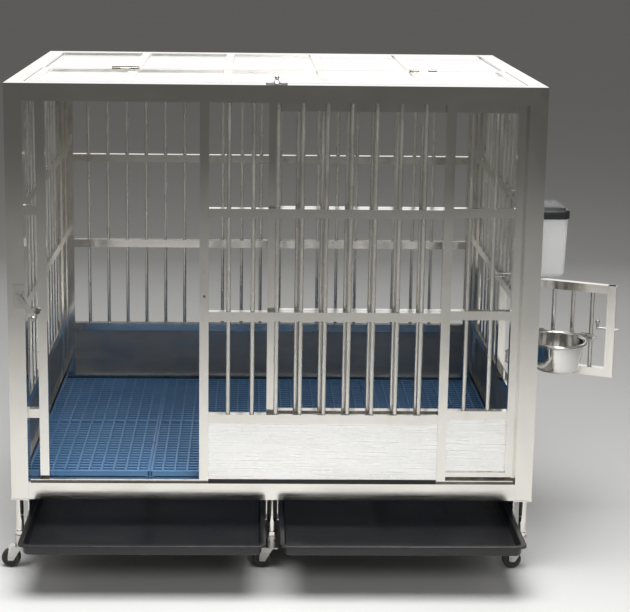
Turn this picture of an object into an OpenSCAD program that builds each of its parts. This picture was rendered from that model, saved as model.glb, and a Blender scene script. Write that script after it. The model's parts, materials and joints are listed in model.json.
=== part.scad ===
// Stainless-steel kennel cage on casters: tube frame, barred walls, sliding front door,
// hinged roof flap, side feed door with a bowl, water tank, slatted floor and two waste trays.
// Origin: on the ground under the middle of the body. +X right, +Y rear, +Z up, millimetres.

/* [Body] */
// Width of the body over the corner posts
body_w = 1100; // [900:10:1300]
// Depth of the body over the corner posts
body_d = 700; // [640:10:900]
// Height of the frame's top face above the ground
top_z = 1040; // [1000:5:1150]
// Height of the frame's underside above the ground
base_z = 158; // [150:1:170]
// Side of the square frame tube
tube = 36; // [36:1:40]
// Wall thickness of the square tubes
tube_wall = 1.2; // [1:0.1:2]

/* [Panels] */
// Width of the panel stiles and rails
stile = 19; // [16:1:22]
// Depth of the panel stiles and rails
panel_t = 16; // [14:1:16]
// Diameter of the vertical bars
bar_d = 9.5; // [8:0.5:12]
// Wall thickness of the bars
bar_wall = 0.8; // [0.6:0.1:1.2]
// Height of the upper rail's centre
rail_a_z = 776; // [740:1:800]
// Height of the middle rail's centre
rail_b_z = 558; // [540:1:580]
// Height of the lower rail's centre, above the kick sheet
rail_c_z = 340; // [330:1:350]
// Thickness of the kick sheets
sheet_t = 1.2; // [1:0.1:2]
// Number of bars in the rear wall
rear_bar_count = 20; // [14:1:24]
// Number of bars in each side wall
side_bar_count = 12; // [8:1:14]
// Number of bars in the door and in the fixed front panel
front_bar_count = 9; // [6:1:10]

/* [Front door] */
// Width of the sliding door
door_w = 520; // [500:1:540]
// Distance from the body's left side to the open door's left edge
door_open_x = 395; // [380:1:410]
// Distance from the body's left side to the fixed panel's left edge
fixed_x = 535.5; // [530:0.5:545]
// Distance from the body's left side to the jamb's centre line
jamb_x = 68.5; // [66:0.5:72]
// Height of the door latch's pivot
latch_z = 598; // [590:1:620]
// How far the latch lever hangs below level
latch_hang = 53; // [30:1:60]

/* [Roof] */
// Distance from the front face to the flap's hinge line
flap_d = 310; // [290:1:330]
// Number of cross tubes in the roof
roof_cross_count = 4; // [3:1:5]

/* [Feed door] */
// Width of the feed door
feed_w = 235; // [220:1:240]
// How far the feed door stands open
feed_open = 68; // [0:1:90]
// Distance from the front face to the feed door's hinge pin
feed_hinge_y = 339; // [335:1:345]
// Number of bars in the feed door
feed_bar_count = 4; // [3:1:5]
// Radius of the bowl's rim
bowl_r = 65; // [60:1:66]
// Height of the bowl
bowl_h = 68; // [55:1:72]
// Height of the bowl's rim above the ground
bowl_rim_z = 451; // [440:1:455]

/* [Water tank] */
// Distance from the front face to the middle of the tank
tank_y = 200; // [180:1:220]
// Width of the tank, out from the wall
tank_w = 84; // [70:1:90]
// Length of the tank, along the wall
tank_l = 110; // [90:1:120]
// Height of the tank without its lid
tank_h = 130; // [110:1:140]

/* [Trays and casters] */
// Width of one waste tray over its rim
tray_w = 504; // [480:1:506]
// Depth of one waste tray over its rim
tray_d = 650; // [600:1:660]
// Height of a tray
tray_h = 25; // [20:1:28]
// Height of the tray rim above the ground
tray_rim_z = 117; // [115:1:120]
// How far the trays stand out in front of the body
tray_out = 141; // [0:1:200]
// Diameter of a caster wheel
wheel_d = 40; // [36:1:44]
// Thickness of a caster wheel
wheel_t = 15; // [12:1:16]
// Distance from a caster's stem to its axle
caster_trail = 20; // [14:1:22]

/* [Hidden] */

steel = "silver";
half_w = body_w / 2;
half_d = body_d / 2;
gap = 0.1;                 // weld line between two tubes of one frame
run_gap = 0.05;            // radial clearance of a pin in its hole
plate = 2;                 // thickness of small plates
inner_x = half_w - tube;   // inner face of the side posts
inner_y = half_d - tube;   // inner face of the front and rear posts
sill_top = base_z + tube;
rail_low = top_z - tube;   // underside of the top rails
wall_y = half_d - tube / 2;
wall_x = half_w - tube / 2;
foot_z = sill_top + stile / 2;
head_z = rail_low - stile / 2;

// Depths of the two front planes
door_y = -half_d + 1.5 + panel_t / 2;
fixed_y = -inner_y - 1 - panel_t / 2;
door_left = -half_w + door_open_x;
door_foot = sill_top + 6.6;
door_head = rail_low + 24;
glide_h = 6;
track_h = 5;
pocket_t = panel_t + 1;

// Roof
flap_y = -half_d + flap_d;
roof_t = 16;
roof_x = inner_x - 1;
flap_gap = 1.5;
hinge_r = 4;
hinge_pin_r = 2;
hinge_z = top_z + hinge_r + 0.4;
hinge_len = 60;
roof_bar = 19;
button_y = -half_d + tube / 2 - 4;
button_l = 44;

// Feed door
feed_pin_x = half_w + 1;
feed_pin_y = -half_d + feed_hinge_y;
feed_edge = 6;
feed_low = rail_c_z + stile / 2 + 3;
feed_high = rail_b_z + 7;
feed_mid = 463;
feed_pin_r = 2.5;
knuckle_r = 5;
open_front_y = -half_d + 96.5;
open_rear_y = -half_d + 331.5;
bowl_s = feed_edge + 120;
bowl_o = 80;
wire = 2.5;
bolt_r = 3;
keeper_y = feed_pin_y - feed_edge - feed_w - 12;

// Trays and casters
tray_x = 14 + tray_w / 2;
tray_front = -half_d - tray_out;
flange = 9;
tray_wall = 2.5;
runner_t = 1.5;
leg_x = half_w - 14;
leg_y = wall_y;
leg_r = 8;
leg_low = 74;
caster_x = [-leg_x, 0, leg_x, -leg_x, 0, leg_x];
caster_y = [-leg_y, -leg_y, -leg_y, leg_y, leg_y, leg_y];
wheel_r = wheel_d / 2;
axle_r = 3;
fork_t = 2;
race_r = 11;               // radius of a caster's swivel race

// Water tank
tank_low = 608;
tank_x = half_w + 2 + tank_w / 2;
tank_mid_y = -half_d + tank_y;

// ---- Helpers ----

module ring_profile(a, b) {
    difference() {
        square([a, b], center = true);
        square([a - 2 * tube_wall, b - 2 * tube_wall], center = true);
    }
}

// Square tube along X from x0 to x1
module tube_x(x0, x1, y, z, across, high) {
    translate([x0, y, z]) rotate([90, 0, 90]) linear_extrude(x1 - x0) ring_profile(across, high);
}

// Square tube along Y from y0 to y1
module tube_y(y0, y1, x, z, across, high) {
    translate([x, y1, z]) rotate([90, 0, 0]) linear_extrude(y1 - y0) ring_profile(across, high);
}

// Square tube along Z from z0 to z1
module tube_z(z0, z1, x, y, size_x, size_y) {
    translate([x, y, z0]) linear_extrude(z1 - z0) ring_profile(size_x, size_y);
}

module bar(z0, z1, x, y) {
    translate([x, y, z0]) linear_extrude(z1 - z0) difference() {
        circle(d = bar_d, $fn = 32);
        circle(d = bar_d - 2 * bar_wall, $fn = 32);
    }
}

module box(low, high) {
    translate(low) cube(high - low);
}

module at_corners(x, y) {
    for (sx = [-1, 1], sy = [-1, 1]) translate([sx * x, sy * y, 0]) children();
}

// Wall panel in the XZ plane, centred on y, from x0 to x1: two stiles, and the rails at the given heights
module panel_frame_xz(x0, x1, y, z0, z1, rails) {
    for (x = [x0 + stile / 2, x1 - stile / 2]) tube_z(z0, z1, x, y, stile, panel_t);
    for (z = rails) tube_x(x0 + stile + gap, x1 - stile - gap, y, z, panel_t, stile);
}

// The same panel turned into the YZ plane, centred on x
module panel_frame_yz(y0, y1, x, z0, z1, rails) {
    for (y = [y0 + stile / 2, y1 - stile / 2]) tube_z(z0, z1, x, y, panel_t, stile);
    for (z = rails) tube_y(y0 + stile + gap, y1 - stile - gap, x, z, panel_t, stile);
}

function between(a, b, count, i) = a + (b - a) * i / (count + 1);

panel_rails = [foot_z, rail_c_z, rail_b_z, rail_a_z, head_z];
bar_low = rail_c_z + stile / 2 + gap;
bar_high = rail_low - stile - gap;

// ---- Main frame ----

module corner_posts() {
    color(steel) at_corners(wall_x, wall_y) tube_z(base_z, top_z - plate, 0, 0, tube, tube);
}

module post_end_plates() {
    color(steel) {
        at_corners(wall_x, wall_y) translate([0, 0, top_z - plate / 2])
            cube([tube, tube, plate], center = true);
        at_corners(wall_x, wall_y) translate([0, 0, base_z - plate / 2])
            cube([tube + 2, tube + 2, plate], center = true);
    }
}

// The front top rail is a channel: its front half is open below and holds the door's head
module top_rail_front() {
    pocket_y = door_y + half_d;
    color(steel) difference() {
        translate([-inner_x + gap, 0, 0]) rotate([90, 0, 90]) linear_extrude(2 * inner_x - 2 * gap)
            difference() {
                translate([-half_d, rail_low]) square([tube, tube]);
                translate([-half_d + pocket_y - pocket_t / 2, rail_low - 1]) square([pocket_t, tube - 2]);
                translate([-half_d + pocket_y + pocket_t / 2 + tube_wall, rail_low + tube_wall])
                    square([tube - pocket_y - pocket_t / 2 - 2 * tube_wall, tube - 2 * tube_wall]);
            }
        translate([0, button_y, top_z - 3]) cylinder(r = 3 + run_gap, h = 4, $fn = 32);
    }
}

module top_rails_rear_side() {
    color(steel) {
        tube_x(-inner_x + gap, inner_x - gap, wall_y, top_z - tube / 2, tube, tube);
        for (s = [-1, 1])
            tube_y(-inner_y + gap, inner_y - gap, s * wall_x, top_z - tube / 2, tube, tube);
    }
}

module sill_rails() {
    color(steel) {
        for (s = [-1, 1])
            tube_x(-inner_x + gap, inner_x - gap, s * wall_y, base_z + tube / 2, tube, tube);
        for (s = [-1, 1])
            tube_y(-inner_y + gap, inner_y - gap, s * wall_x, base_z + tube / 2, tube, tube);
        // Low rib that guides the door's foot
        box([-inner_x + 4, door_y - 1.5, sill_top], [inner_x - 4, door_y + 1.5, sill_top + track_h]);
    }
}

bearer = 19;
floor_w = 2 * (wall_x - panel_t / 2 - 2);
bearer_x = [-(inner_x - bearer / 2 - gap), -floor_w / 4, 0, floor_w / 4, inner_x - bearer / 2 - gap];

module floor_bearers() {
    color(steel) for (x = bearer_x)
        tube_y(-inner_y + gap, inner_y - gap, x, sill_top - bearer / 2 - gap, bearer, bearer);
}

// ---- Slatted floor ----

floor_front = -inner_y + 1;
floor_rear = inner_y - 1;
floor_t = 13;
floor_web = 5;
panel_pitch = floor_w / 4;
floor_rib_count = 10;
rib_w = 4;
slot_w = 12;

// One floor panel: a web with slots, standing ribs from front to rear and one rib across
module floor_panel(index) {
    w = panel_pitch - 1;
    d = floor_rear - floor_front;
    cell = w / floor_rib_count;
    color("steelblue") translate([(index - 2.5) * panel_pitch - w / 2, floor_front, sill_top]) union() {
        translate([0, 0, floor_t - 3 - floor_web]) linear_extrude(floor_web) difference() {
            square([w, d]);
            for (i = [0 : floor_rib_count - 1], part = [0, 1])
                translate([cell * (i + 0.5) - slot_w / 2, part * d / 2 + 14]) square([slot_w, d / 2 - 28]);
        }
        for (i = [1 : floor_rib_count - 1])
            translate([cell * i - rib_w / 2, 4, 0]) cube([rib_w, d - 8, floor_t]);
        for (x = [0, w - 5]) translate([x, 0, 0]) cube([5, d, floor_t]);
        for (y = [0, d - 6, d / 2 - 3]) translate([0, y, 0]) cube([w, 6, floor_t]);
    }
}

// ---- Front: jamb and fixed panel ----

jamb_mid = -half_w + jamb_x;

module jamb() {
    color(steel) {
        tube_z(sill_top + 5, rail_low, jamb_mid, fixed_y, stile, panel_t);
        for (z = [rail_c_z, rail_b_z, rail_a_z])
            tube_x(-inner_x + gap, jamb_mid - stile / 2 - gap, fixed_y, z, panel_t, stile);
    }
    color("dimgray") translate([jamb_mid, fixed_y, sill_top + 2.5]) cube([stile, panel_t, 5], center = true);
}

fixed_left = -half_w + fixed_x;

module front_fixed_frame() {
    color(steel) panel_frame_xz(fixed_left, inner_x - gap, fixed_y, sill_top, rail_low, panel_rails);
}

module front_fixed_bars() {
    x0 = fixed_left + stile / 2;
    x1 = inner_x - stile / 2;
    color(steel) for (i = [1 : front_bar_count])
        bar(bar_low, bar_high, between(x0, x1, front_bar_count, i), fixed_y);
}

module front_fixed_sheet() {
    color("whitesmoke") box([fixed_left + stile + gap, fixed_y - sheet_t, sill_top + stile + gap],
                            [inner_x - stile - 2 * gap, fixed_y, rail_c_z - stile / 2 - gap]);
}

// ---- Side and rear walls ----

module side_frame(s) {
    panel_frame_yz(-inner_y + gap, inner_y - gap, s * wall_x, sill_top, rail_low, panel_rails);
}

function side_bar_y(i) = between(-inner_y + stile / 2, inner_y - stile / 2, side_bar_count, i);

module side_sheet(s) {
    color("gray") box([s * wall_x - sheet_t / 2, -inner_y + stile + 2 * gap, sill_top + stile + gap],
                      [s * wall_x + sheet_t / 2, inner_y - stile - 2 * gap, rail_c_z - stile / 2 - gap]);
}

module left_frame() {
    color(steel) side_frame(-1);
}

module left_bars() {
    color(steel) for (i = [1 : side_bar_count]) bar(bar_low, bar_high, -wall_x, side_bar_y(i));
}

// The right wall has two extra stiles that frame the feed opening
module right_frame() {
    color(steel) {
        side_frame(1);
        for (y = [open_front_y, open_rear_y])
            tube_z(rail_c_z + stile / 2 + gap, rail_b_z - stile / 2 - gap, wall_x, y, panel_t, stile);
    }
}

// A bar that would cross the feed opening starts above it
module right_bars() {
    margin = stile / 2 + bar_d / 2 + 2;
    color(steel) for (i = [1 : side_bar_count]) {
        y = side_bar_y(i);
        crosses = y > open_front_y - margin && y < open_rear_y + margin;
        bar(crosses ? rail_b_z + stile / 2 + gap : bar_low, bar_high, wall_x, y);
    }
}

module side_sheets() {
    for (s = [-1, 1]) side_sheet(s);
}

module rear_frame() {
    color(steel) panel_frame_xz(-inner_x + gap, inner_x - gap, wall_y, sill_top, rail_low, panel_rails);
}

module rear_bars() {
    color(steel) for (i = [1 : rear_bar_count])
        bar(bar_low, bar_high, between(-inner_x + stile / 2, inner_x - stile / 2, rear_bar_count, i), wall_y);
}

module rear_sheet() {
    color("gray") box([-inner_x + stile + 2 * gap, wall_y - sheet_t / 2, sill_top + stile + gap],
                      [inner_x - stile - 2 * gap, wall_y + sheet_t / 2, rail_c_z - stile / 2 - gap]);
}

// ---- Sliding front door ----

door_right = door_left + door_w;
door_rail_z = rail_c_z - 4;  // the door's lower rail sits a little below the walls' rail

module door_frame() {
    color(steel) {
        for (x = [door_left + stile / 2, door_right - stile / 2])
            tube_z(door_foot, door_head, x, door_y, stile, panel_t);
        for (z = [door_rail_z, rail_b_z, rail_a_z, door_head - stile / 2])
            tube_x(door_left + stile + gap, door_right - stile - gap, door_y, z, panel_t, stile);
    }
    // Striker stud for the latch, and the screw above it
    color("dimgray") for (z = [latch_z, latch_z + 52])
        translate([door_left + stile / 2, door_y - panel_t / 2, z]) rotate([90, 0, 0])
            cylinder(r = 3, h = z == latch_z ? 9 : 1.2, $fn = 24);
}

module door_bars() {
    color(steel) for (i = [1 : front_bar_count])
        bar(door_rail_z + stile / 2 + gap, door_head - stile - gap,
            between(door_left + stile / 2, door_right - stile / 2, front_bar_count, i), door_y);
}

module door_sheet() {
    y = door_y - panel_t / 2 + 2;
    color("whitesmoke") box([door_left + stile + gap, y, sill_top + glide_h + 2.5 + gap],
                            [door_right - stile - gap, y + sheet_t, door_rail_z - stile / 2 - gap]);
}

// Plastic foot of the door: it straddles the guide rib on the sill
module door_glide() {
    color("black") difference() {
        box([door_left + stile + gap, door_y - panel_t / 2 + 1, sill_top + 0.6],
            [door_right - stile - gap, door_y + panel_t / 2 - 1, sill_top + glide_h + 2.5]);
        box([door_left, door_y - 2, sill_top], [door_right, door_y + 2, sill_top + track_h + 0.8]);
    }
}

// ---- Door latch ----

latch_x = -inner_x - 13;
latch_face = -half_d - plate;

module latch_plate() {
    color(steel) {
        box([latch_x - 12, -half_d - plate, latch_z - 26], [latch_x + 12, -half_d, latch_z + 26]);
        translate([latch_x, latch_face, latch_z]) rotate([90, 0, 0]) cylinder(r = 3, h = 4.5, $fn = 32);
        translate([latch_x, latch_face - 3.6, latch_z]) rotate([90, 0, 0]) cylinder(r = 5, h = 1.6, $fn = 32);
    }
}

// Hooked lever on the plate's stud; level, its notch drops over the door's striker stud
module latch_lever() {
    reach = jamb_x - half_w - latch_x;
    notch_top = 3.4;
    color(steel) translate([latch_x, latch_face - 0.4, latch_z]) rotate([90, latch_hang, 0]) union() {
        linear_extrude(2.8) difference() {
            union() {
                circle(r = 8, $fn = 48);
                translate([0, -5]) square([reach + 8, 11]);
                translate([reach + 8, 0]) circle(r = 6, $fn = 48);
            }
            circle(r = 3 + run_gap, $fn = 48);
            translate([reach - 3.6, -8]) square([7.2, 8 + notch_top]);
        }
        translate([reach + 8, 0, 2.8]) cylinder(r = 3, h = 4, $fn = 32);
        translate([reach + 8, 0, 10.6]) intersection() {
            sphere(r = 6.5, $fn = 32);
            translate([0, 0, -4]) cylinder(r = 8, h = 9, $fn = 32);
        }
    }
}

// ---- Roof ----

function roof_cross_x(i) = between(-roof_x, roof_x, roof_cross_count, i);

module roof_frame() {
    y0 = flap_y + roof_bar / 2 + gap;
    color(steel) {
        tube_x(-inner_x + gap, inner_x - gap, flap_y, top_z - roof_t / 2, roof_bar, roof_t);
        for (i = [1 : roof_cross_count])
            tube_y(y0, inner_y - gap, roof_cross_x(i), top_z - roof_t / 2, roof_bar, roof_t);
    }
    // Tabs that the closed flap rests on
    tab_top = top_z - roof_t - 0.2;
    color(steel) for (s = [-1, 1], y = [-inner_y + 30, flap_y - 50])
        translate([s * (inner_x - 8), y + 12, tab_top - 1.5]) cube([16, 24, 3], center = true);
}

// Roof sheets, one in each bay between two cross tubes
module roof_bays(y0, y1) {
    side = roof_bar / 2 + gap;
    color("white") for (i = [0 : roof_cross_count]) {
        x0 = i == 0 ? -roof_x + gap : roof_cross_x(i) + side;
        x1 = i == roof_cross_count ? roof_x - gap : roof_cross_x(i + 1) - side;
        box([x0, y0, top_z - 6], [x1, y1, top_z - 5]);
    }
}

module roof_sheet() {
    roof_bays(flap_y + roof_bar / 2 + 2 * gap, inner_y - 2 * gap);
}

flap_front = -inner_y + flap_gap;
flap_rear = flap_y - roof_bar / 2 - flap_gap;
flap_x = inner_x - flap_gap;

module flap_frame() {
    z = top_z - roof_t / 2;
    y0 = flap_front + stile + gap;
    y1 = flap_rear - stile - gap;
    color(steel) {
        for (y = [flap_front + stile / 2, flap_rear - stile / 2])
            tube_x(-flap_x, flap_x, y, z, stile, roof_t);
        for (s = [-1, 1]) tube_y(y0, y1, s * (flap_x - stile / 2), z, stile, roof_t);
        for (i = [1 : roof_cross_count]) tube_y(y0, y1, roof_cross_x(i), z, roof_bar, roof_t);
        for (x = hinge_places) flap_knuckle(x);
    }
}

module flap_sheet() {
    side = roof_bar / 2 + gap;
    edge = flap_x - stile - gap;
    color("white") for (i = [0 : roof_cross_count]) {
        x0 = i == 0 ? -edge : roof_cross_x(i) + side;
        x1 = i == roof_cross_count ? edge : roof_cross_x(i + 1) - side;
        box([x0, flap_front + stile + 2 * gap, top_z - 6], [x1, flap_rear - stile - 2 * gap, top_z - 5]);
    }
}

hinge_places = [-half_w * 0.6, half_w * 0.6];
hinge_y = flap_rear + flap_gap / 2;
leaf_t = 1.6;
leaf_l = 18;

// Moving half of one butt hinge: the middle barrel and its leaf on the flap
module flap_knuckle(x) {
    barrel = hinge_len / 3 - 0.6;
    translate([x, hinge_y, hinge_z]) rotate([0, 90, 0]) difference() {
        union() {
            cylinder(r = hinge_r, h = barrel, center = true, $fn = 48);
            translate([hinge_r - leaf_t + 0.3, -leaf_l, -barrel / 2]) cube([leaf_t, leaf_l, barrel]);
        }
        cylinder(r = hinge_pin_r + run_gap, h = hinge_len, center = true, $fn = 48);
    }
}

// Fixed halves of the two butt hinges, with their pins
module flap_hinges() {
    third = hinge_len / 3;
    color(steel) for (x = hinge_places) translate([x, hinge_y, hinge_z]) rotate([0, 90, 0]) {
        for (s = [-1, 1]) translate([0, 0, s * third]) union() {
            cylinder(r = hinge_r, h = third, center = true, $fn = 48);
            translate([hinge_r - leaf_t + 0.3, 0, -third / 2]) cube([leaf_t, leaf_l, third]);
        }
        cylinder(r = hinge_pin_r, h = hinge_len, center = true, $fn = 48);
    }
}

// Turn button on the front rail: turned a quarter, its arm lies over the flap
module roof_button() {
    color("dimgray") translate([0, button_y, top_z]) union() {
        translate([0, 0, -2.5]) cylinder(r = 3, h = 3, $fn = 32);
        translate([0, 0, 0.4]) linear_extrude(3) hull() {
            for (s = [-1, 1]) translate([s * (button_l / 2 - 5), 0]) circle(r = 5, $fn = 32);
        }
        translate([0, 0, 3.4]) cylinder(r1 = 8, r2 = 4, h = 5, $fn = 48);
        translate([0, 0, 8.4]) cylinder(r = 3, h = 3, $fn = 32);
        translate([0, 0, 14]) sphere(r = 5, $fn = 32);
    }
}

// ---- Feed door and bowl ----

// Children are drawn for the closed door, with the hinge pin at the origin and the door along -Y
module at_feed_door() {
    translate([feed_pin_x, feed_pin_y, 0]) rotate([0, 0, feed_open]) children();
}

feed_stile_a = -feed_edge - stile / 2;
feed_stile_b = -feed_edge - feed_w + stile / 2;
knuckle_z = [feed_low + 20, feed_high - 20];
knuckle_h = 22;

module feed_door_frame() {
    color(steel) at_feed_door() {
        tube_z(feed_low, feed_high, 0, feed_stile_a, panel_t, stile);
        difference() {
            tube_z(feed_low, feed_high, 0, feed_stile_b, panel_t, stile);
            translate([0, feed_stile_b, feed_mid]) rotate([90, 0, 0])
                cylinder(r = bolt_r + run_gap, h = stile + 2, center = true, $fn = 32);
        }
        for (z = [feed_low + stile / 2, feed_high - stile / 2])
            tube_y(feed_stile_b + stile / 2 + gap, feed_stile_a - stile / 2 - gap, 0, z, panel_t, stile);
        for (z = knuckle_z) translate([0, 0, z]) difference() {
            union() {
                cylinder(r = knuckle_r, h = knuckle_h, center = true, $fn = 48);
                translate([-2, -feed_edge, -knuckle_h / 2]) cube([4, feed_edge, knuckle_h]);
            }
            cylinder(r = feed_pin_r + run_gap, h = knuckle_h + 2, center = true, $fn = 48);
        }
    }
}

module feed_door_bars() {
    color(steel) at_feed_door() for (i = [1 : feed_bar_count])
        bar(feed_low + stile + gap, feed_high - stile - gap, 0,
            between(feed_stile_b, feed_stile_a, feed_bar_count, i));
}

// Fixed hinge lugs on the wall, two for each knuckle, with the pins
module feed_hinge_lugs() {
    lug_t = 3;
    reach = feed_pin_x - (wall_x + panel_t / 2);
    color(steel) translate([feed_pin_x, feed_pin_y, 0]) for (z = knuckle_z) {
        for (s = [-1, 1]) translate([0, 0, z + s * (knuckle_h / 2 + lug_t / 2 + 0.5) - lug_t / 2]) union() {
            cylinder(r = knuckle_r, h = lug_t, $fn = 48);
            translate([-reach, -2, 0]) cube([reach, 4, lug_t]);
        }
        translate([0, 0, z]) cylinder(r = feed_pin_r, h = knuckle_h + 2 * lug_t + 6, center = true, $fn = 48);
        translate([-reach, -4, z - knuckle_h / 2 - 6]) cube([plate, 8, knuckle_h + 12]);
    }
}

// Bolt through the door's free stile, with a knob on the side of the bars
module feed_bolt() {
    tip = feed_edge + feed_w + 8;
    knob_s = 8 + stile + 20;
    color("dimgray") at_feed_door() union() {
        translate([0, -tip, feed_mid]) rotate([-90, 0, 0]) cylinder(r = bolt_r, h = knob_s + 3, $fn = 32);
        translate([0, -tip + knob_s, feed_mid]) cylinder(r = 3, h = 12, $fn = 32);
        translate([0, -tip + knob_s, feed_mid + 15]) sphere(r = 5, $fn = 32);
    }
}

// Bracket on the wall whose hole takes the bolt of the closed door
module feed_keeper() {
    face = wall_x + panel_t / 2;
    color(steel) difference() {
        union() {
            box([face, keeper_y - 3, feed_mid - 10], [face + 20, keeper_y, feed_mid + 10]);
            box([face, keeper_y, feed_mid - 10], [face + plate, keeper_y + 16, feed_mid + 10]);
        }
        translate([feed_pin_x, keeper_y + 1, feed_mid]) rotate([90, 0, 0])
            cylinder(r = bolt_r + 0.8, h = 6, $fn = 32);
    }
}

bracket_z = bowl_rim_z - 12;

// Wire ring that carries the bowl, its bar across the door's bars, clamp plates, bolts and wing nuts
module bowl_bracket() {
    bar_in = between(feed_stile_b, feed_stile_a, feed_bar_count, 1);
    bar_out = between(feed_stile_b, feed_stile_a, feed_bar_count, feed_bar_count);
    ring_r = bowl_r - 1.5;
    ring_z = bowl_rim_z - 5;
    color("lightgray") at_feed_door() {
        union() {
            translate([-bowl_o, -bowl_s, ring_z]) rotate_extrude($fn = 72)
                translate([ring_r, 0]) circle(r = wire, $fn = 20);
            box([-bowl_o + ring_r - 1, -bowl_s - 9, ring_z - 2], [-8, -bowl_s + 9, ring_z + 2]);
            box([-8.2, bar_in - 14, bracket_z - 7], [-5.4, bar_out + 14, bracket_z + 9]);
        }
        for (y = [bar_in + 9, bar_out - 9]) {
            box([5.4, y - 14, bracket_z - 8], [7.4, y + 14, bracket_z + 8]);
            translate([-8.3, y, bracket_z]) rotate([0, -90, 0]) wing_nut();
        }
    }
    color("lightgray") at_feed_door() for (y = [bar_in + 9, bar_out - 9])
        translate([7.5, y, bracket_z]) rotate([0, 90, 0]) cylinder(r = 4.5, h = 3, $fn = 6);
}

module wing_nut() {
    cylinder(r = 5, h = 6, $fn = 32);
    for (s = [-1, 1]) translate([0, s * 8, 5]) cube([2.4, 9, 9], center = true);
}

// Stainless bowl with a rolled rim
module bowl() {
    body_r = bowl_r - 7;
    foot_r = bowl_r - 18;
    t = 1;
    color("gainsboro") at_feed_door() translate([-bowl_o, -bowl_s, bowl_rim_z - bowl_h])
        rotate_extrude($fn = 96) difference() {
            union() {
                polygon([[0, 0], [foot_r, 0], [body_r - 3, 14], [body_r, bowl_h - 3], [bowl_r, bowl_h - 2],
                         [bowl_r, bowl_h], [0, bowl_h]]);
                translate([bowl_r - 1, bowl_h - 1]) circle(r = 1, $fn = 16);
            }
            polygon([[-1, t], [foot_r - 0.6, t], [body_r - 3 - t, 14.4], [body_r - t, bowl_h - 1],
                     [body_r + 1, bowl_h + 1], [-1, bowl_h + 1]]);
        }
}

// ---- Water tank ----

module rounded_box(w, l, h, r) {
    linear_extrude(h) hull() {
        for (sx = [-1, 1], sy = [-1, 1])
            translate([sx * (w / 2 - r), sy * (l / 2 - r)]) circle(r = r, $fn = 32);
    }
}

module tank_body() {
    wall = 2.5;
    color("white") {
        translate([tank_x, tank_mid_y, tank_low]) difference() {
            hull() {
                translate([0, 0, tank_h - 1]) rounded_box(tank_w, tank_l, 1, 10);
                rounded_box(tank_w - 6, tank_l - 8, 1, 12);
            }
            translate([0, 0, wall]) hull() {
                translate([0, 0, tank_h]) rounded_box(tank_w - 2 * wall, tank_l - 2 * wall, 1, 8);
                rounded_box(tank_w - 6 - 2 * wall, tank_l - 8 - 2 * wall, 1, 10);
            }
        }
        // Outlet neck under the floor of the tank
        translate([tank_x, tank_mid_y, tank_low - 13]) cylinder(r = 9, h = 13, $fn = 48);
        // Straps that hook over the wall's upper rail
        for (y = [-26, 14]) translate([wall_x, tank_mid_y + y, 0]) tank_strap();
    }
}

// Strap behind the tank, drawn from the wall's mid-plane: spacer, upright, top and lip of the hook
module tank_strap() {
    back = panel_t / 2 + gap;
    top = rail_a_z + stile / 2 + gap;
    union() {
        box([back, -5, tank_low + 50], [tube / 2 + 3.5, 5, tank_low + 90]);
        box([back, -5, tank_low + 50], [back + 3, 5, top + 2.5]);
        box([-back - 1.8, -5, top], [back + 3, 5, top + 2.5]);
        box([-back - 1.8, -5, top - 10], [-back, 5, top + 2.5]);
    }
}

module tank_lid() {
    color("black") translate([tank_x, tank_mid_y, tank_low + tank_h + 0.3]) union() {
        translate([0, 0, -0.1]) rounded_box(tank_w + 6, tank_l + 6, 20, 12);
        translate([0, 0, 19.9]) rounded_box(tank_w - 6, tank_l - 6, 4, 10);
    }
}

// Nozzle that reaches between the bars into the cage
module drink_nozzle() {
    r = 5;
    z = tank_low - 6;
    x0 = tank_x - 9 - gap;
    x1 = inner_x - 26;
    color("gray") union() {
        translate([x1, tank_mid_y, z]) rotate([0, 90, 0]) cylinder(r = r, h = x0 - x1, $fn = 32);
        translate([x1, tank_mid_y, z]) sphere(r = r, $fn = 32);
        translate([x1, tank_mid_y, z]) rotate([0, 215, 0]) cylinder(r = r, h = 22, $fn = 32);
    }
}

// ---- Waste trays ----

module tray(s) {
    inner_w = tray_w - 2 * flange;
    inner_d = tray_d - 2 * flange;
    color("black") translate([s * tray_x, tray_front + tray_d / 2, tray_rim_z - tray_h]) difference() {
        union() {
            translate([0, 0, tray_h - 3]) rounded_box(tray_w, tray_d, 3, 16);
            rounded_box(inner_w, inner_d, tray_h - 1, 12);
        }
        translate([0, 0, tray_wall])
            rounded_box(inner_w - 2 * tray_wall, inner_d - 2 * tray_wall, tray_h, 10);
    }
}

// Angle runners that the tray rims slide on
module tray_runners() {
    low = tray_rim_z - 3 - 0.4;
    edge = tray_x + tray_w / 2 + 1.5;
    middle = tray_x - tray_w / 2 - 1.5;
    color(steel) for (s = [-1, 1]) {
        runner(s * edge, -s, low, inner_y - 4);
        runner(s * middle, s, low, wall_y);
    }
}

// One runner: a web of half length web_y that hangs from the frame, and a ledge that points to side d
module runner(x, d, low, web_y) {
    web = d > 0 ? [x - runner_t, x] : [x, x + runner_t];
    ledge = d > 0 ? [x - runner_t, x + 7] : [x - 7, x + runner_t];
    union() {
        box([web[0], -web_y, low - runner_t], [web[1], web_y, base_z - gap]);
        box([ledge[0], -half_d + 4, low - runner_t], [ledge[1], half_d - 4, low]);
    }
}

// ---- Legs and casters ----

module legs() {
    color(steel) for (i = [0 : 5]) {
        top = caster_x[i] == 0 ? base_z : base_z - plate;
        translate([caster_x[i], caster_y[i], leg_low + 8])
            cylinder(r = leg_r, h = top - leg_low - 8 - gap, $fn = 48);
        translate([caster_x[i], caster_y[i], leg_low]) difference() {
            cylinder(r = leg_r + 2.5, h = 8, $fn = 6);
            translate([0, 0, -1]) cylinder(r = 4 + run_gap, h = 8, $fn = 48);
        }
    }
}

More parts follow.
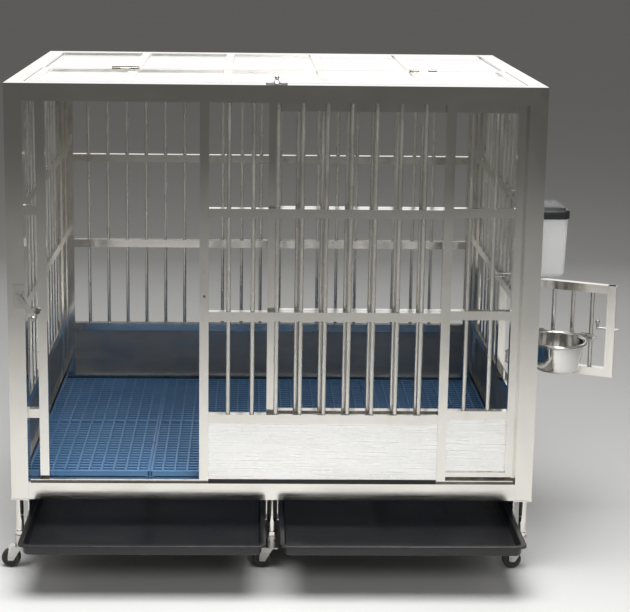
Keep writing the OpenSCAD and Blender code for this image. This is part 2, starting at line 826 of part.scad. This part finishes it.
// Swivel fork: stem, crown, two cheeks and the axle, trailing towards -X
module caster_fork(index) {
    cheek_y = wheel_t / 2 + 1 + fork_t / 2;
    crown_z = wheel_d + 4;
    color("gray") translate([caster_x[index - 1], caster_y[index - 1], 0]) {
        union() {
            translate([0, 0, crown_z]) cylinder(r = 4, h = leg_low + 6.5 - crown_z, $fn = 48);
            translate([0, 0, crown_z + 1]) cylinder(r = race_r, h = leg_low - crown_z - 2, $fn = 48);
            translate([-caster_trail - 4, -cheek_y - fork_t, crown_z])
                cube([caster_trail + race_r + 6, 2 * (cheek_y + fork_t), 3]);
            for (s = [-1, 1]) translate([0, s * cheek_y + fork_t / 2, 0]) rotate([90, 0, 0])
                linear_extrude(fork_t) fork_cheek(crown_z + 2);
            translate([-caster_trail, 0, wheel_r]) rotate([90, 0, 0])
                cylinder(r = axle_r, h = 2 * cheek_y + 3 * fork_t, center = true, $fn = 48);
        }
    }
}

// Outline of a fork's cheek, from round the axle up into the crown
module fork_cheek(top) {
    polygon([[-caster_trail - 6, wheel_r - 4], [-caster_trail + 6, wheel_r - 4], [2, top - 3], [2, top],
             [-caster_trail - 3, top], [-caster_trail - 6, wheel_r + 6]]);
}

// Wheel with a hub boss, a recessed web and a chamfered tread
module caster_wheel(index) {
    h = wheel_t / 2;
    hub = 7;
    color("dimgray") translate([caster_x[index - 1] - caster_trail, caster_y[index - 1], wheel_r])
        rotate([90, 0, 0]) difference() {
            rotate_extrude($fn = 64)
                polygon([[0, -h], [hub, -h], [hub, 2 - h], [wheel_r - 6, 2 - h], [wheel_r - 5, -h],
                         [wheel_r - 2, -h], [wheel_r, 2 - h], [wheel_r, h - 2], [wheel_r - 2, h],
                         [wheel_r - 5, h], [wheel_r - 6, h - 2], [hub, h - 2], [hub, h], [0, h]]);
            cylinder(r = axle_r + run_gap, h = wheel_t + 2, center = true, $fn = 48);
        }
}

corner_posts();
post_end_plates();
top_rail_front();
top_rails_rear_side();
sill_rails();
floor_bearers();
floor_panel(1);  // floor_panel_1
floor_panel(2);  // floor_panel_2
floor_panel(3);  // floor_panel_3
floor_panel(4);  // floor_panel_4
tray_runners();
legs();
jamb();
front_fixed_frame();
front_fixed_bars();
front_fixed_sheet();
left_frame();
left_bars();
right_frame();
right_bars();
side_sheets();
rear_frame();
rear_bars();
rear_sheet();
door_frame();
door_bars();
door_sheet();
door_glide();
latch_plate();
latch_lever();
roof_frame();
roof_sheet();
flap_frame();
flap_sheet();
flap_hinges();
roof_button();
feed_door_frame();
feed_door_bars();
feed_hinge_lugs();
feed_bolt();
feed_keeper();
bowl_bracket();
bowl();
tank_body();
tank_lid();
drink_nozzle();
tray(-1);  // tray_left
tray(1);  // tray_right
caster_fork(1);  // caster_fork_1
caster_fork(2);  // caster_fork_2
caster_fork(3);  // caster_fork_3
caster_fork(4);  // caster_fork_4
caster_fork(5);  // caster_fork_5
caster_fork(6);  // caster_fork_6
caster_wheel(1);  // caster_wheel_1
caster_wheel(2);  // caster_wheel_2
caster_wheel(3);  // caster_wheel_3
caster_wheel(4);  // caster_wheel_4
caster_wheel(5);  // caster_wheel_5
caster_wheel(6);  // caster_wheel_6
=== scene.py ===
"""Looks of the kennel cage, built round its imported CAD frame."""

import json
import math

import bmesh
import bpy
from mathutils import Matrix, Vector


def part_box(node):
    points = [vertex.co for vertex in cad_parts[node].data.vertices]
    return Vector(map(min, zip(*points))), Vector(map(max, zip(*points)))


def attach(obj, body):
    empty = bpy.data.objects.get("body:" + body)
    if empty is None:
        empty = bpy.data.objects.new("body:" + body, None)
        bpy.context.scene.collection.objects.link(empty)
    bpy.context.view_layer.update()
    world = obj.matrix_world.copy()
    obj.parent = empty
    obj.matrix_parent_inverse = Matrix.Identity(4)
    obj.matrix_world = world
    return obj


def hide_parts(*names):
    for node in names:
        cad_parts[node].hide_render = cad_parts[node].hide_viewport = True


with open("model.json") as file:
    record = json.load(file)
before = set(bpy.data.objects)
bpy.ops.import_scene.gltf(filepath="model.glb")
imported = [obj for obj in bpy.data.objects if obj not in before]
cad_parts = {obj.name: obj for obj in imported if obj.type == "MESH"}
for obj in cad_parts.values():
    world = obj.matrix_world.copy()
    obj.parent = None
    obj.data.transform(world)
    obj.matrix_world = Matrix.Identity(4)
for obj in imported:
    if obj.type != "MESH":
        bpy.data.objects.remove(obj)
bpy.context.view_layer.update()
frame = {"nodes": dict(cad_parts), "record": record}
NODES = frame["nodes"]
BODY_OF = {node: body for body, nodes in frame["record"]["behaviour"]["bodies"].items() for node in nodes}

# The camera stands as the photographer did: place in metres, turn, downward tilt and roll in degrees
CAMERA_PLACE = (-0.055, -3.232, 1.370)
CAMERA_TURN, CAMERA_TILT, CAMERA_ROLL = -1.13, 9.86, 0.66
LENS, SENSOR = 82.29, 36
SHIFT_X, SHIFT_Y = 0.0603, -0.2175


# ---- Materials ----

class Finish:
    """A procedural material: one Principled shader and the nodes that feed it."""

    def __init__(self, name, **uniform):
        self.material = bpy.data.materials.new(name)
        self.material.use_nodes = True
        self.tree = self.material.node_tree
        self.shader = self.tree.nodes["Principled BSDF"]
        self.place = self.tree.nodes.new("ShaderNodeTexCoord").outputs["Object"]
        for socket, value in uniform.items():
            self.shader.inputs[socket.replace("_", " ")].default_value = value

    def node(self, kind, **inputs):
        made = self.tree.nodes.new(kind)
        for socket, value in inputs.items():
            self.feed(made.inputs[socket.replace("_", " ")], value)
        return made

    def feed(self, socket, value):
        if isinstance(value, bpy.types.NodeSocket):
            self.tree.links.new(value, socket)
        else:
            socket.default_value = value

    def stretched(self, stretch):
        """The place in metres, drawn out along each axis whose factor is small."""
        return self.node("ShaderNodeMapping", Vector=self.place, Scale=stretch).outputs["Vector"]

    def noise(self, scale, detail=3.0, stretch=(1, 1, 1), roughness=0.5):
        return self.node("ShaderNodeTexNoise", Vector=self.stretched(stretch), Scale=scale, Detail=detail,
                         Roughness=roughness).outputs["Fac"]

    def spread(self, value, low, high, start=0.3, end=0.7):
        """Maps value from start..end, where most of a noise lies, to low..high."""
        made = self.node("ShaderNodeMapRange", Value=value)
        for socket, number in zip(("From Min", "From Max", "To Min", "To Max"), (start, end, low, high)):
            made.inputs[socket].default_value = number
        return made.outputs["Result"]

    def sum(self, a, b, operation="ADD"):
        made = self.tree.nodes.new("ShaderNodeMath")
        made.operation = operation
        self.feed(made.inputs[0], a)
        self.feed(made.inputs[1], b)
        return made.outputs[0]

    def mix(self, share, a, b):
        made = self.tree.nodes.new("ShaderNodeMix")
        made.data_type = "RGBA"
        factor, colour_a, colour_b, colour_out = 0, 6, 7, 2
        self.feed(made.inputs[factor], share)
        self.feed(made.inputs[colour_a], a)
        self.feed(made.inputs[colour_b], b)
        return made.outputs[colour_out]

    def bump(self, height, strength, distance):
        normal = self.node("ShaderNodeBump", Height=height, Strength=strength, Distance=distance)
        self.feed(self.shader.inputs["Normal"], normal.outputs["Normal"])

    def drive(self, socket, value):
        self.feed(self.shader.inputs[socket], value)


def rgb(r, g, b):
    return (r, g, b, 1.0)


# Scales of the noises in a steel, in waves per metre or so
GRAIN, CLOUD, SMEAR, STAIN = 260, 7, 38, 4.5
STAIN_COLOUR = (0.38, 0.33, 0.25)
STEEL_DEPTH, PLASTIC_DEPTH = 0.0003, 0.0006


def steel(name, light, dark, rough, grain, stain=0.0, dents=0.25, uneven=0.35, relief=0.1):
    """Stainless steel, with its grain drawn out along the axis where grain is small.

    stain is how far brownish patches show, dents the share of broad waves in the bump,
    uneven how much smears change the roughness, and relief the strength of the bump.
    """
    f = Finish(name, Metallic=1.0)
    fine = f.noise(GRAIN, 4, grain, 0.7)
    cloud = f.noise(CLOUD, 4)
    smear = f.noise(SMEAR, 3, tuple(0.25 + 0.75 * g for g in grain))
    colour = f.mix(f.spread(cloud, 0, 1), rgb(*dark), rgb(*light))
    if stain:
        patch = f.spread(f.noise(STAIN, 5, (1, 1, 0.7), 0.65), 0, stain, 0.56, 0.74)
        colour = f.mix(patch, colour, rgb(*STAIN_COLOUR))
    f.drive("Base Color", colour)
    smeared = f.spread(smear, rough * (1 - uneven), rough * (1 + uneven))
    f.drive("Roughness", f.sum(smeared, f.spread(fine, 0.0, 0.06)))
    f.bump(f.sum(fine, f.sum(cloud, dents, "MULTIPLY")), relief, STEEL_DEPTH)
    return f.material


def plastic(name, light, dark, rough, bump=0.12, grain=420):
    """Moulded plastic with a fine grained face, scuffs and uneven gloss."""
    f = Finish(name)
    cloud = f.noise(11, 5)
    pores = f.noise(grain, 3)
    scuff = f.spread(f.noise(55, 6, (1, 0.25, 1), 0.7), 0, 1, 0.57, 0.7)
    f.drive("Base Color", f.mix(f.spread(cloud, 0, 1), rgb(*dark), rgb(*light)))
    f.drive("Roughness", f.sum(f.spread(cloud, rough * 0.8, rough * 1.2), f.sum(scuff, 0.1, "MULTIPLY")))
    f.bump(pores, bump, PLASTIC_DEPTH)
    return f.material


ALONG_X, ALONG_Y, ALONG_Z = (0.02, 1, 1), (1, 0.02, 1), (1, 1, 0.02)
LIGHT, DARK = (0.80, 0.78, 0.735), (0.72, 0.70, 0.655)
POST = steel("steel_post", LIGHT, DARK, 0.09, ALONG_Z, 0.35)
BAR = steel("steel_bar", LIGHT, DARK, 0.26, ALONG_Z)
RAIL_X = steel("steel_rail_x", LIGHT, DARK, 0.09, ALONG_X, 0.3)
RAIL_Y = steel("steel_rail_y", LIGHT, DARK, 0.09, ALONG_Y, 0.3)
SHEET = steel("steel_sheet", (0.44, 0.44, 0.435), (0.37, 0.37, 0.365), 0.5, ALONG_X, 0.15, 0.05)
KICK = steel("steel_kick", (0.93, 0.925, 0.915), (0.90, 0.895, 0.885), 0.24, ALONG_X,
             stain=0.04, dents=0.02, uneven=0.08, relief=0.02)
ROOF = steel("steel_roof", (0.93, 0.93, 0.93), (0.90, 0.90, 0.90), 0.4, ALONG_Y,
             dents=0.02, uneven=0.08, relief=0.02)
ZINC = steel("zinc_fitting", (0.66, 0.65, 0.63), (0.5, 0.49, 0.47), 0.3, (1, 1, 1), 0.5)
BOWL = steel("bowl_steel", (0.82, 0.81, 0.79), (0.74, 0.73, 0.71), 0.1, (1, 1, 0.1))
BLUE = plastic("blue_floor", (0.12, 0.285, 0.53), (0.095, 0.235, 0.46), 0.33)
BLACK = plastic("black_tray", (0.014, 0.014, 0.015), (0.009, 0.009, 0.010), 0.4, 0.2, 300)
WHITE = plastic("white_tank", (0.86, 0.87, 0.87), (0.80, 0.81, 0.82), 0.3)
LID = plastic("dark_lid", (0.03, 0.032, 0.035), (0.018, 0.019, 0.021), 0.33)
RUBBER = plastic("wheel_rubber", (0.05, 0.05, 0.052), (0.03, 0.03, 0.032), 0.55, 0.25, 500)

CAD_FINISH = {
    POST: ("corner_posts", "post_end_plates", "jamb", "legs", "front_fixed_frame", "door_frame",
           "rear_frame", "left_frame", "right_frame", "feed_door_frame"),
    BAR: ("front_fixed_bars", "door_bars", "rear_bars", "left_bars", "right_bars", "feed_door_bars"),
    RAIL_X: ("top_rail_front", "sill_rails", "roof_frame", "flap_frame"),
    RAIL_Y: ("top_rails_rear_side", "floor_bearers", "tray_runners"),
    SHEET: ("side_sheets", "rear_sheet"),
    KICK: ("front_fixed_sheet", "door_sheet"),
    ROOF: ("roof_sheet", "flap_sheet"),
    ZINC: ("latch_plate", "latch_lever", "flap_hinges", "roof_button", "feed_hinge_lugs", "feed_bolt",
           "feed_keeper", "bowl_bracket", "drink_nozzle") + tuple(f"caster_fork_{i}" for i in range(1, 7)),
    BOWL: ("bowl",),
    BLUE: tuple(f"floor_panel_{i}" for i in range(1, 5)),
    BLACK: ("tray_left", "tray_right", "door_glide"),
    WHITE: ("tank_body",),
    LID: ("tank_lid",),
    RUBBER: tuple(f"caster_wheel_{i}" for i in range(1, 7)),
}
for finish, names in CAD_FINISH.items():
    for name in names:
        NODES[name].data.materials.clear()
        NODES[name].data.materials.append(finish)


# ---- Pieces that stand for plainer CAD nodes ----

SHARP = math.radians(40)


def piece(name, node, bm, finish, bevel=0.0, smooth=True):
    """The bmesh as a finished piece that replaces the CAD node and rides on its body."""
    bmesh.ops.recalc_face_normals(bm, faces=bm.faces)
    mesh = bpy.data.meshes.new(name)
    bm.to_mesh(mesh)
    bm.free()
    mesh.materials.append(finish)
    made = bpy.data.objects.new(name, mesh)
    bpy.context.scene.collection.objects.link(made)
    if bevel:
        rounding = made.modifiers.new("rounding", "BEVEL")
        rounding.width = bevel
        rounding.segments = 2
        rounding.limit_method = "ANGLE"
    mesh.polygons.foreach_set("use_smooth", [smooth] * len(mesh.polygons))
    if smooth:
        mesh.set_sharp_from_angle(angle=SHARP)
    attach(made, BODY_OF[node])
    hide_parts(node)


def add_box(bm, low, high):
    """A box between two corners."""
    corners = [bm.verts.new((x, y, z)) for z in (low[2], high[2]) for y in (low[1], high[1])
               for x in (low[0], high[0])]
    for face in ((0, 2, 3, 1), (4, 5, 7, 6), (0, 1, 5, 4), (2, 6, 7, 3), (0, 4, 6, 2), (1, 3, 7, 5)):
        bm.faces.new([corners[i] for i in face])


def add_loops(bm, loops, closed=False):
    """Skins a list of equal rings of points. The two ends are capped, or joined to each other if closed."""
    rings = [[bm.verts.new(p) for p in loop] for loop in loops]
    count = len(rings[0])
    pairs = list(zip(rings, rings[1:])) + ([(rings[-1], rings[0])] if closed else [])
    for a, b in pairs:
        for i in range(count):
            j = (i + 1) % count
            bm.faces.new((a[i], a[j], b[j], b[i]))
    if not closed:
        bm.faces.new(rings[0])
        bm.faces.new(list(reversed(rings[-1])))


def rounded_rect(centre, half_x, half_y, radius, z, steps=6):
    """Points of a level rectangle with rounded corners."""
    loop = []
    for sx, sy, start in ((1, 1, 0), (-1, 1, 90), (-1, -1, 180), (1, -1, 270)):
        for i in range(steps + 1):
            a = math.radians(start + 90 * i / steps)
            loop.append((centre[0] + sx * (half_x - radius) + radius * math.cos(a),
                         centre[1] + sy * (half_y - radius) + radius * math.sin(a), z))
    return loop


def ring(centre, radius, height, axis, count=48):
    """Points of a circle round axis Z or Y, height along that axis from the centre."""
    loop = []
    for i in range(count):
        a = 2 * math.pi * i / count
        u, v = radius * math.cos(a), radius * math.sin(a)
        offset = (u, v, height) if axis == "Z" else (u, height, v)
        loop.append(tuple(c + o for c, o in zip(centre, offset)))
    return loop


def arc(cx, cy, radius, start, end, steps):
    """Points of an arc in the profile plane, angles in degrees."""
    return [(cx + radius * math.cos(math.radians(start + (end - start) * i / steps)),
             cy + radius * math.sin(math.radians(start + (end - start) * i / steps))) for i in range(steps + 1)]


# Radius of the small hole that keeps a lathed profile off its axis
AXIS = 0.0005

# Floor panel: ribs of one panel, widths of its rim, ribs and cross bars, and the cross bars' pitch, drop and height
RIBS = 10
EDGE, RIB, CROSS, CROSS_PITCH = 0.005, 0.004, 0.0065, 0.0148
WEB_DROP, WEB_T = 0.0035, 0.004

# Tank: height of its neck, radius of its lower edge, and the lid's overhang
TANK_NECK, TANK_ROUND, LID_OVER = 0.013, 0.012, 0.003


def floor_panel(index):
    """One moulded floor panel: a rim, standing ribs from front to rear, and fine cross bars between them."""
    node = f"floor_panel_{index}"
    low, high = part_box(node)
    bm = bmesh.new()
    width, depth = high.x - low.x, high.y - low.y
    cell = width / RIBS
    for x in [low.x, high.x - EDGE]:
        add_box(bm, (x, low.y, low.z), (x + EDGE, high.y, high.z))
    for y in [low.y, high.y - EDGE, (low.y + high.y - EDGE) / 2]:
        add_box(bm, (low.x + 0.001, y, low.z + 0.001), (high.x - 0.001, y + EDGE, high.z - 0.0004))
    for i in range(1, RIBS):
        x = low.x + cell * i - RIB / 2
        add_box(bm, (x, low.y + 0.002, low.z), (x + RIB, high.y - 0.002, high.z - 0.0002))
    rows = int((depth - 2 * EDGE) / CROSS_PITCH)
    for row in range(rows):
        y = low.y + EDGE + (depth - 2 * EDGE) * (row + 0.5) / rows - CROSS / 2
        add_box(bm, (low.x + 0.002, y, high.z - WEB_DROP - WEB_T), (high.x - 0.002, y + CROSS, high.z - WEB_DROP))
    piece(f"{node}_moulded", node, bm, BLUE, bevel=0.0007, smooth=False)


def tray(side):
    """Vacuum-formed tray with a rolled rim and rounded corners."""
    node = f"tray_{side}"
    low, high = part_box(node)
    centre = ((low.x + high.x) / 2, (low.y + high.y) / 2)
    half_x, half_y = (high.x - low.x) / 2, (high.y - low.y) / 2
    bottom, top, lip = low.z, high.z, 0.0015
    # From under the floor out to the rim, over its lip, and down again inside: inset from the rim, and height
    profile = [(0.016, bottom), (0.0115, bottom + 0.0012), (0.0095, bottom + 0.005), (0.009, top - 0.0035),
               (0.008, top - 0.0026), (0.003, top - 0.003), (0.0, top - 0.0035)]
    profile += arc(lip, top - lip, lip, 180, 90, 4)
    profile += [(0.0085, top), (0.0105, top - 0.0008), (0.0116, top - 0.003), (0.0125, bottom + 0.007),
                (0.0145, bottom + 0.0032), (0.018, bottom + 0.0025)]
    bm = bmesh.new()
    add_loops(bm, [rounded_rect(centre, half_x - inset, half_y - inset, max(0.016 - 0.4 * inset, 0.006), z)
                   for inset, z in profile])
    piece(f"{node}_formed", node, bm, BLACK)


def bowl():
    """Spun steel bowl with a rolled rim and a small foot step."""
    low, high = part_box("bowl")
    centre = ((low.x + high.x) / 2, (low.y + high.y) / 2, 0)
    rim, top, base = (high.x - low.x) / 2, high.z, low.z
    wall = rim - 0.007
    side = top - base - 0.006
    bead = 0.0022
    flare = 2.2
    steps = [i / 10 for i in range(11)]
    # Radius and height, from under the foot up the outside, round the bead and down the inside
    profile = [(AXIS, base + 0.001), (wall - 0.016, base + 0.001), (wall - 0.013, base)]
    profile += [(wall - 0.011 * (1 - t) ** flare, base + 0.0015 + side * t) for t in steps]
    profile += arc(rim - bead, top - bead, bead, -70, 150, 8)
    profile += [(wall - 0.001 - 0.012 * (1 - t) ** flare, base + 0.0028 + side * t) for t in reversed(steps)]
    profile += [(wall - 0.02, base + 0.0022), (AXIS, base + 0.0022)]
    bm = bmesh.new()
    add_loops(bm, [ring(centre, r, z, "Z", 72) for r, z in profile])
    piece("bowl_spun", "bowl", bm, BOWL)


def wheel(index):
    """Caster wheel: a rounded tyre round a stepped hub with an axle boss."""
    node = f"caster_wheel_{index}"
    low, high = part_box(node)
    centre = tuple((a + b) / 2 for a, b in zip(low, high))
    radius, half = (high.z - low.z) / 2, (high.y - low.y) / 2
    tread = 0.0035
    # Radius and distance from the middle, from the axle's hole out over the boss and web to the tread
    side = [(0.0032, half), (0.0066, half), (0.0072, half - 0.0018), (radius * 0.62, half - 0.0022),
            (radius * 0.70, half - 0.0008)]
    side += arc(radius - tread, half - tread, tread, 90, 0, 5)
    profile = side + [(r, -z) for r, z in reversed(side)]
    bm = bmesh.new()
    add_loops(bm, [ring(centre, r, y, "Y") for r, y in profile], closed=True)
    piece(f"{node}_tyre", node, bm, RUBBER)


def tank():
    """Blow-moulded tank with a rounded foot, its outlet neck, and the two straps that hook over the wall's rail."""
    lid_low, lid_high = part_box("tank_lid")
    low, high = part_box("tank_body")
    wall = sum(v.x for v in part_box("right_frame")) / 2
    hook = high.z
    centre = ((lid_low.x + lid_high.x) / 2, (lid_low.y + lid_high.y) / 2)
    half_x, half_y = (lid_high.x - lid_low.x) / 2 - LID_OVER, (lid_high.y - lid_low.y) / 2 - LID_OVER
    base, top, taper = low.z + TANK_NECK, lid_low.z, 0.003
    foot = base + TANK_ROUND
    # Inset and height, from the rounded foot up the tapered side and over the mouth's edge
    profile = arc(taper + TANK_ROUND, foot, TANK_ROUND, -90, -180, 6)
    profile += [(taper * (1 - t), foot + (top - foot) * t) for t in (0.25, 0.5, 0.75, 1.0)]
    profile += [(0.0025, top), (0.004, top - 0.006)]
    bm = bmesh.new()
    add_loops(bm, [rounded_rect(centre, half_x - inset, half_y - inset, 0.013, z) for inset, z in profile])
    neck = [(AXIS, low.z), (0.008, low.z), (0.009, low.z + 0.001), (0.009, base - 0.003), (0.0115, base + 0.001)]
    add_loops(bm, [ring((*centre, 0), r, z, "Z", 32) for r, z in neck])
    # Each strap: spacer on the tank, upright, top and lip of the hook, from the wall's mid-plane outwards
    back, strap, spacer, lip = 0.0081, 0.0111, 0.0215, -0.0099
    for y in (centre[1] - 0.026, centre[1] + 0.014):
        for x0, x1, z0, z1 in ((back, spacer, base + 0.05, base + 0.09), (back, strap, base + 0.05, hook),
                               (lip, strap, hook - 0.0025, hook), (lip, -back, hook - 0.0125, hook)):
            add_box(bm, (wall + x0, y - 0.005, z0), (wall + x1, y + 0.005, z1))
    piece("tank_moulded", "tank_body", bm, WHITE, bevel=0.0006)


def lid():
    """Press-on lid with a rounded edge and a raised crown."""
    low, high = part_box("tank_lid")
    centre = ((low.x + high.x) / 2, (low.y + high.y) / 2)
    half_x, half_y = (high.x - low.x) / 2, (high.y - low.y) / 2
    top, rounding = high.z, 0.006
    shoulder = top - 0.010
    profile = [(0.002, low.z), (0.0, low.z + 0.0015), (0.0, shoulder)]
    profile += arc(rounding, shoulder, rounding, 180, 90, 6)
    profile += [(0.0085, top - 0.0035), (0.0095, top - 0.0008), (0.011, top), (0.03, top)]
    bm = bmesh.new()
    add_loops(bm, [rounded_rect(centre, half_x - inset, half_y - inset, max(0.015 - inset, 0.005), z)
                   for inset, z in profile])
    piece("tank_lid_moulded", "tank_lid", bm, LID)


for index in range(1, 5):
    floor_panel(index)
tank()
lid()
for side in ("left", "right"):
    tray(side)
bowl()
for index in range(1, 7):
    wheel(index)


# ---- Stage, light and camera ----

def stage_floor():
    """A pale floor wide enough to have no edge in any view."""
    mesh = bpy.data.meshes.new("stage_floor")
    reach = 40
    mesh.from_pydata([(-reach, -reach, 0), (reach, -reach, 0), (reach, reach, 0), (-reach, reach, 0)], [],
                     [(0, 1, 2, 3)])
    floor = bpy.data.objects.new("stage_floor", mesh)
    bpy.context.scene.collection.objects.link(floor)
    f = Finish("pale_floor")
    f.drive("Base Color", f.mix(f.noise(1.5), rgb(0.70, 0.70, 0.69), rgb(0.74, 0.74, 0.73)))
    f.drive("Roughness", f.spread(f.noise(6), 0.6, 0.75))
    mesh.materials.append(f.material)


def soft_light(name, place, target, size, power, spread=180):
    """An area light of that size, power in watts and spread in degrees, aimed at target."""
    data = bpy.data.lights.new(name, "AREA")
    data.shape = "RECTANGLE"
    data.size, data.size_y = size
    data.energy = power
    data.spread = math.radians(spread)
    light = bpy.data.objects.new(name, data)
    bpy.context.scene.collection.objects.link(light)
    light.location = place
    light.rotation_euler = (Vector(target) - Vector(place)).to_track_quat("-Z", "Y").to_euler()


def camera():
    """The camera at the photograph's viewing angle."""
    data = bpy.data.cameras.new("camera")
    data.sensor_fit = "HORIZONTAL"
    data.sensor_width = SENSOR
    data.lens = LENS
    data.shift_x = SHIFT_X
    data.shift_y = SHIFT_Y
    cam = bpy.data.objects.new("camera", data)
    bpy.context.scene.collection.objects.link(cam)
    turn = (Matrix.Rotation(math.radians(CAMERA_TURN), 4, "Z")
            @ Matrix.Rotation(math.radians(90 - CAMERA_TILT), 4, "X")
            @ Matrix.Rotation(math.radians(CAMERA_ROLL), 4, "Z"))
    cam.matrix_world = Matrix.Translation(CAMERA_PLACE) @ turn
    bpy.context.scene.camera = cam


def studio():
    """A dim, even room. The steel mirrors it, so it stays darker than the lit floor."""
    world = bpy.data.worlds.new("studio")
    world.use_nodes = True
    background = world.node_tree.nodes["Background"]
    background.inputs["Color"].default_value = rgb(1.0, 0.98, 0.94)
    background.inputs["Strength"].default_value = 0.14
    bpy.context.scene.world = world


stage_floor()
# The key light makes the bright pool of floor that the lower posts mirror; the back light is what the roof
# and the tops of the rails mirror
soft_light("key", place=(-0.1, -0.75, 2.3), target=(-0.1, -0.75, 0), size=(2.2, 1.0), power=18, spread=85)
soft_light("top", place=(0, 0.5, 3.0), target=(0, 0.2, 0.8), size=(2.0, 2.0), power=30)
soft_light("fill", place=(0.9, -3.6, 2.7), target=(0.2, 0, 0.6), size=(1.6, 1.2), power=32)
soft_light("back", place=(0, 2.5, 2.05), target=(0, 1.0, 2.05), size=(5.0, 1.9), power=30)
studio()
bpy.context.scene.view_settings.view_transform = "Standard"
camera()
